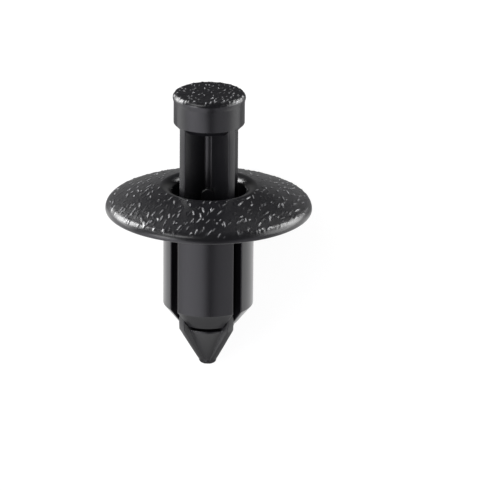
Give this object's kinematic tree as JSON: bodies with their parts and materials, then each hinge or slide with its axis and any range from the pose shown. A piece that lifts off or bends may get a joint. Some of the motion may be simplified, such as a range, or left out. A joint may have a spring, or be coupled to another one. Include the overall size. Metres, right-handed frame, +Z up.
{
  "type": "push rivet trim clip",
  "caption": "Plastic push rivet with a domed round flange, split legs and a finned sliding pin that spreads them to hold a trim panel.",
  "frame": {"origin": "middle of the rivet's outer box, on the surface that it lies on", "axes": "+X along the rivet's length towards the pin's head, +Z up from the surface; the rivet's own axis leans 30.26 degrees up from +X, because it lies on the flange's rim and one leg"},
  "size_m": [0.0196, 0.015, 0.0132],
  "materials": {
    "grommet_plastic": "black moulded nylon, leather-like grain on the flange's top, smooth below and on the lip",
    "pin_plastic": "black moulded nylon, leather-like grain on the head's top, smooth on the shank and nose"
  },
  "bodies": {
    "grommet": {"grommet": "grommet_plastic"},
    "pin": {"pin": "pin_plastic"}
  },
  "joints": [
    {"name": "pin_slide", "type": "slide", "parent": "grommet", "child": "pin", "axis": [0.8638, 0, 0.5039], "range_m": [-0.00715, 0]}
  ]
}
